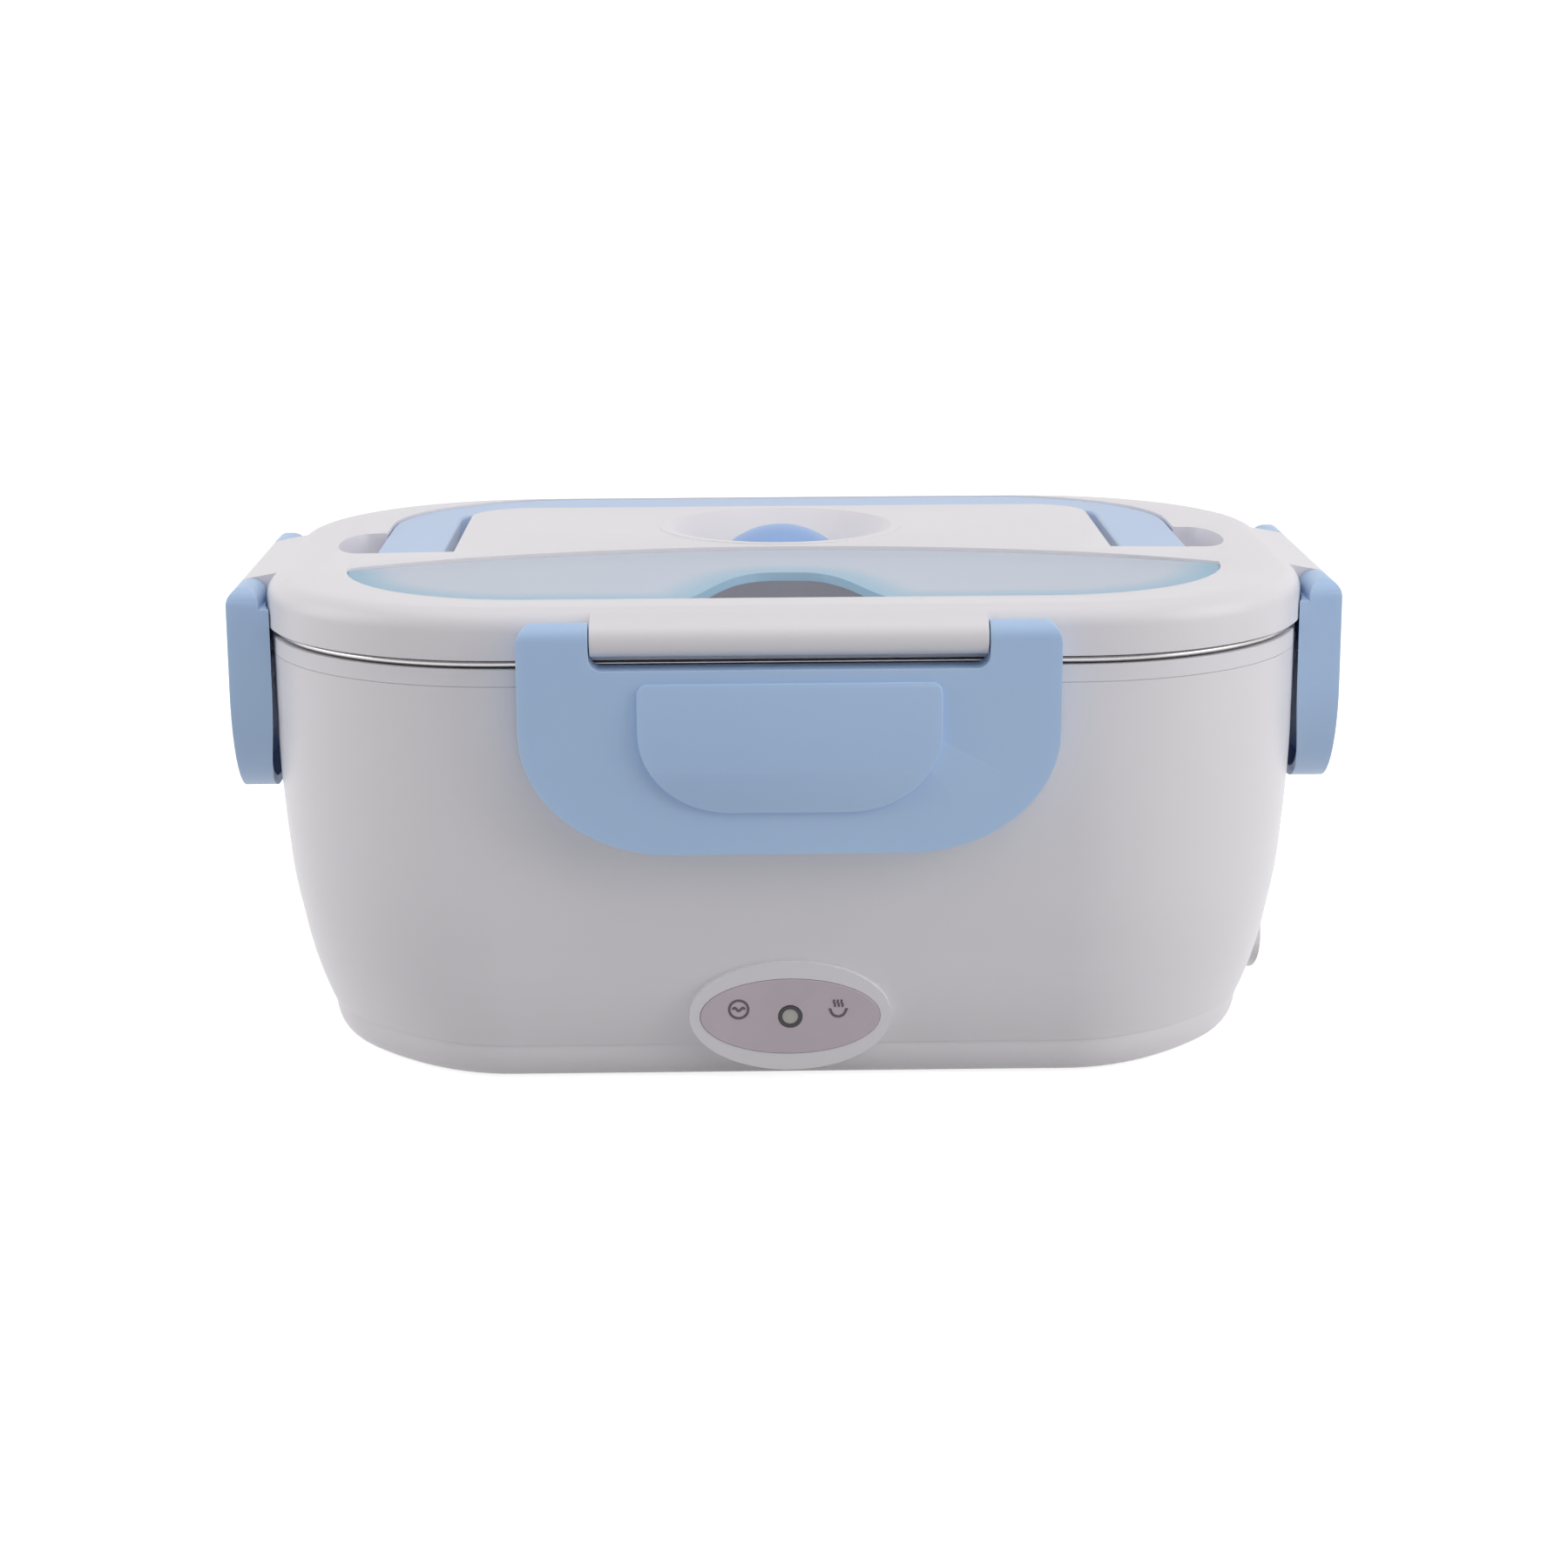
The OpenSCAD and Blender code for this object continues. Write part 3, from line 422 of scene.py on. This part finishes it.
# the signs lie on the panel's largest forward face, turned to its lean
def signPlace():
    panel = nodes["display_panel"]
    front = max(panel.data.polygons, key=lambda f: f.area if f.normal.y < signs["forward"] else 0)
    lean = math.atan2(front.normal.z, -front.normal.y)
    face = front.center
    middle = (Vector(panel.bound_box[0]) + Vector(panel.bound_box[6])) / 2  # two opposite corners
    y = face.y + (middle.z - face.z) * math.tan(lean) - signs["lift"]
    return Matrix.Translation(Vector((0, y, middle.z))) @ Matrix.Rotation(math.pi / 2 - lean, 4, "X")


def makeSigns():
    bm = bmesh.new()
    drawSigns(bm)
    bmesh.ops.transform(bm, verts=bm.verts, matrix=signPlace())
    bmesh.ops.solidify(bm, geom=bm.faces[:], thickness=-signs["thick"])
    bmesh.ops.recalc_face_normals(bm, faces=bm.faces)
    mesh = bpy.data.meshes.new("panel_signs")
    bm.to_mesh(mesh)
    bm.free()
    obj = bpy.data.objects.new("panel_signs", mesh)
    bpy.context.scene.collection.objects.link(obj)
    setMaterial(obj, printGrey)
    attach(obj, "housing")


makeSigns()
print("signs made")


# one shader for the light that falls on the object, another where the camera or a reflection looks
def pickShader(tree, falling, seen, out):
    path = tree.nodes.new("ShaderNodeLightPath")
    looks = path.outputs["Is Camera Ray"]
    for ray in ("Is Glossy Ray", "Is Transmission Ray"):
        either = addNode(tree, "ShaderNodeMath", operation="MAXIMUM")
        tree.links.new(looks, either.inputs[0])
        tree.links.new(path.outputs[ray], either.inputs[1])
        looks = either.outputs[0]
    pick = tree.nodes.new("ShaderNodeMixShader")
    tree.links.new(looks, pick.inputs["Fac"])
    tree.links.new(falling.outputs[0], pick.inputs[1])
    tree.links.new(seen.outputs[0], pick.inputs[2])
    tree.links.new(pick.outputs[0], out.inputs["Surface"])


# white for the camera and a pale grey for the light that it sends back, so that only a faint shadow shows
floorSet = {"size": 6, "noise": (3, 3), "low": (0.6, 0.6, 0.6), "high": (0.62, 0.62, 0.62), "rough": 0.9,
            "specular": 0.1, "glow": 0.84}


def makeFloor(s):
    bm = bmesh.new()
    bmesh.ops.create_grid(bm, x_segments=1, y_segments=1, size=s["size"])
    mesh = bpy.data.meshes.new("floor")
    bm.to_mesh(mesh)
    bm.free()
    floor = bpy.data.objects.new("floor", mesh)
    bpy.context.scene.collection.objects.link(floor)
    mat, tree, shader = newMaterial("floorPale")
    tree.links.new(ramp(tree, noiseAt(tree, *s["noise"]), s["low"], s["high"]), shader.inputs["Base Color"])
    shader.inputs["Roughness"].default_value = s["rough"]
    shader.inputs["Specular IOR Level"].default_value = s["specular"]
    glow = addNode(tree, "ShaderNodeEmission", Strength=s["glow"])
    both = tree.nodes.new("ShaderNodeAddShader")
    tree.links.new(shader.outputs[0], both.inputs[0])
    tree.links.new(glow.outputs[0], both.inputs[1])
    pickShader(tree, shader, both, tree.nodes["Material Output"])
    setMaterial(floor, mat)


worldSet = {"light": 0.26, "tint": (0.96, 0.97, 1, 1), "white": 1.05}


def makeWorld(s):
    world = bpy.data.worlds.new("studio")
    bpy.context.scene.world = world
    world.use_nodes = True
    tree = world.node_tree
    tree.nodes.clear()
    dim = addNode(tree, "ShaderNodeBackground", Color=s["tint"], Strength=s["light"])
    white = addNode(tree, "ShaderNodeBackground", Color=(1, 1, 1, 1), Strength=s["white"])
    pickShader(tree, dim, white, tree.nodes.new("ShaderNodeOutputWorld"))


# each soft lamp's place, aim, size and power
lampSet = {
    "topSoft": ((0.0, -0.1, 1.2), (0, 0, 0.05), (1.2, 1.2), 4.6),
    "rightSoft": ((1.15, -0.4, 0.5), (0, 0, 0.05), (0.9, 0.9), 6),
    "leftSoft": ((-1.2, -0.05, 0.5), (0, 0, 0.05), (0.9, 0.9), 5),
    "frontSoft": ((0.35, -0.9, 0.95), (0, 0, 0.08), (0.8, 0.8), 1.5),
}


def addLamp(name, place, aim, size, power):
    data = bpy.data.lights.new(name, "AREA")
    data.shape, data.size, data.size_y = "RECTANGLE", size[0], size[1]
    data.energy = power
    lamp = bpy.data.objects.new(name, data)
    turn = (Vector(aim) - Vector(place)).to_track_quat("-Z", "Y").to_matrix().to_4x4()
    lamp.matrix_world = Matrix.Translation(place) @ turn
    bpy.context.scene.collection.objects.link(lamp)


makeFloor(floorSet)
makeWorld(worldSet)
for name, values in lampSet.items():
    addLamp(name, *values)
bpy.context.scene.view_settings.view_transform = "Standard"
print("stage and lamps set")
